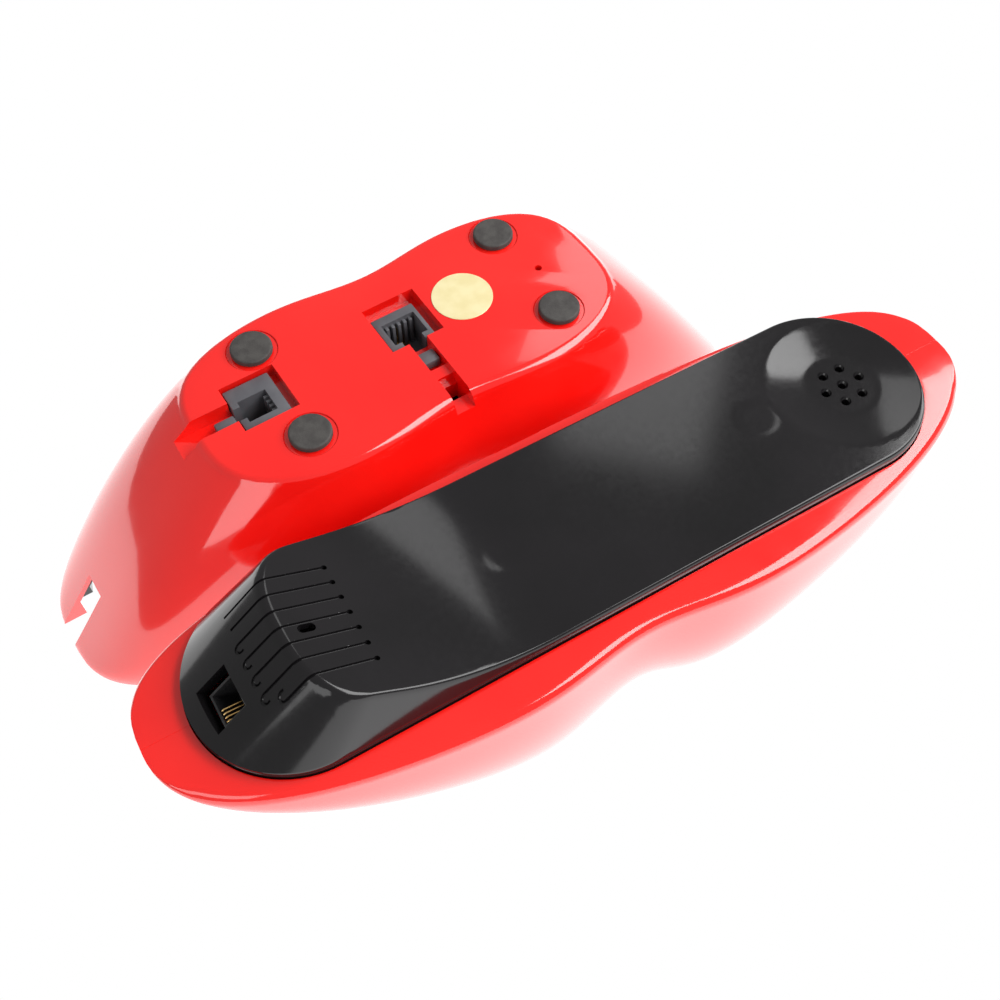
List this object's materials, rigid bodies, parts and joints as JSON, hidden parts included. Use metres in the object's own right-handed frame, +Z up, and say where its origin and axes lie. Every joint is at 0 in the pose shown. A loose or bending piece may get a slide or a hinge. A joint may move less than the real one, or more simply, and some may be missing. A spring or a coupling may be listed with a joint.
{
  "type": "novelty shaped telephone",
  "caption": "Novelty telephone shaped like a pair of red lips, taken apart: base and handset lie upside down side by side, with sprung keys and plug sockets.",
  "frame": {"origin": "on the table, under the middle of the box around both halves as they lie", "axes": "+X along the base's long axis towards the earpiece end, +Y from the handset towards the base, +Z up from the table"},
  "size_m": [0.2264, 0.1434, 0.0764],
  "materials": {
    "red_shell": "polished red plastic",
    "black_plastic": "smooth black plastic with a soft shine",
    "black_part": "plain black plastic",
    "pale_key": "pale plastic, no printing",
    "rubber_mat": "grey rubber sheet",
    "circuit_board": "green board with no print",
    "grey_jack": "grey plastic",
    "dark_jack": "black plastic",
    "gold_contact": "gold-plated spring wire",
    "cream_sticker": "plain cream paper",
    "foot_rubber": "matt dark grey rubber",
    "steel": "zinc-plated steel"
  },
  "bodies": {
    "base": {"base_shell": "red_shell", "base_deck": "black_plastic", "mouthpiece_tub": "black_plastic", "keypad_mat": "rubber_mat", "base_board": "circuit_board", "hook_switch": "black_part", "ringer": "black_part", "line_jack": "grey_jack", "line_jack_contacts": "gold_contact", "cord_jack": "grey_jack", "cord_jack_contacts": "gold_contact", "blank_sticker": "cream_sticker", "foot_1": "foot_rubber", "foot_2": "foot_rubber", "foot_3": "foot_rubber", "foot_4": "foot_rubber", "shell_screw_1": "steel", "shell_screw_2": "steel", "shell_screw_3": "steel", "shell_screw_4": "steel", "board_screw_1": "steel", "board_screw_2": "steel", "board_screw_3": "steel"},
    "dial_key_1": {"dial_key_1": "pale_key"},
    "dial_key_2": {"dial_key_2": "pale_key"},
    "dial_key_3": {"dial_key_3": "pale_key"},
    "dial_key_4": {"dial_key_4": "pale_key"},
    "dial_key_5": {"dial_key_5": "pale_key"},
    "dial_key_6": {"dial_key_6": "pale_key"},
    "dial_key_7": {"dial_key_7": "pale_key"},
    "dial_key_8": {"dial_key_8": "pale_key"},
    "dial_key_9": {"dial_key_9": "pale_key"},
    "dial_key_10": {"dial_key_10": "pale_key"},
    "dial_key_11": {"dial_key_11": "pale_key"},
    "dial_key_12": {"dial_key_12": "pale_key"},
    "function_key_1": {"function_key_1": "pale_key"},
    "function_key_2": {"function_key_2": "pale_key"},
    "function_key_3": {"function_key_3": "pale_key"},
    "hook_plunger": {"hook_plunger": "pale_key"},
    "handset": {"handset_shell": "red_shell", "handset_cover": "black_plastic", "handset_jack": "dark_jack", "handset_jack_contacts": "gold_contact", "receiver": "steel", "microphone": "steel"}
  },
  "joints": [
    {"name": "dial_key_1_press", "type": "slide", "parent": "base", "child": "dial_key_1", "axis": [0, 0, 1], "range_m": [0, 0.0015], "stiffness_N_per_m": 300, "springref_m": -0.0006},
    {"name": "dial_key_2_press", "type": "slide", "parent": "base", "child": "dial_key_2", "axis": [0, 0, 1], "range_m": [0, 0.0015], "stiffness_N_per_m": 300, "springref_m": -0.0006},
    {"name": "dial_key_3_press", "type": "slide", "parent": "base", "child": "dial_key_3", "axis": [0, 0, 1], "range_m": [0, 0.0015], "stiffness_N_per_m": 300, "springref_m": -0.0006},
    {"name": "dial_key_4_press", "type": "slide", "parent": "base", "child": "dial_key_4", "axis": [0, 0, 1], "range_m": [0, 0.0015], "stiffness_N_per_m": 300, "springref_m": -0.0006},
    {"name": "dial_key_5_press", "type": "slide", "parent": "base", "child": "dial_key_5", "axis": [0, 0, 1], "range_m": [0, 0.0015], "stiffness_N_per_m": 300, "springref_m": -0.0006},
    {"name": "dial_key_6_press", "type": "slide", "parent": "base", "child": "dial_key_6", "axis": [0, 0, 1], "range_m": [0, 0.0015], "stiffness_N_per_m": 300, "springref_m": -0.0006},
    {"name": "dial_key_7_press", "type": "slide", "parent": "base", "child": "dial_key_7", "axis": [0, 0, 1], "range_m": [0, 0.0015], "stiffness_N_per_m": 300, "springref_m": -0.0006},
    {"name": "dial_key_8_press", "type": "slide", "parent": "base", "child": "dial_key_8", "axis": [0, 0, 1], "range_m": [0, 0.0015], "stiffness_N_per_m": 300, "springref_m": -0.0006},
    {"name": "dial_key_9_press", "type": "slide", "parent": "base", "child": "dial_key_9", "axis": [0, 0, 1], "range_m": [0, 0.0015], "stiffness_N_per_m": 300, "springref_m": -0.0006},
    {"name": "dial_key_10_press", "type": "slide", "parent": "base", "child": "dial_key_10", "axis": [0, 0, 1], "range_m": [0, 0.0015], "stiffness_N_per_m": 300, "springref_m": -0.0006},
    {"name": "dial_key_11_press", "type": "slide", "parent": "base", "child": "dial_key_11", "axis": [0, 0, 1], "range_m": [0, 0.0015], "stiffness_N_per_m": 300, "springref_m": -0.0006},
    {"name": "dial_key_12_press", "type": "slide", "parent": "base", "child": "dial_key_12", "axis": [0, 0, 1], "range_m": [0, 0.0015], "stiffness_N_per_m": 300, "springref_m": -0.0006},
    {"name": "function_key_1_press", "type": "slide", "parent": "base", "child": "function_key_1", "axis": [0, 0, 1], "range_m": [0, 0.0015], "stiffness_N_per_m": 300, "springref_m": -0.0006},
    {"name": "function_key_2_press", "type": "slide", "parent": "base", "child": "function_key_2", "axis": [0, 0, 1], "range_m": [0, 0.0015], "stiffness_N_per_m": 300, "springref_m": -0.0006},
    {"name": "function_key_3_press", "type": "slide", "parent": "base", "child": "function_key_3", "axis": [0, 0, 1], "range_m": [0, 0.0015], "stiffness_N_per_m": 300, "springref_m": -0.0006},
    {"name": "hook_press", "type": "slide", "parent": "base", "child": "hook_plunger", "axis": [0, 0, 1], "range_m": [0, 0.004], "stiffness_N_per_m": 120, "springref_m": -0.002},
    {"name": "handset_lift", "type": "slide", "parent": "base", "child": "handset", "axis": [0, 0, 1], "range_m": [0, 0.12]}
  ]
}
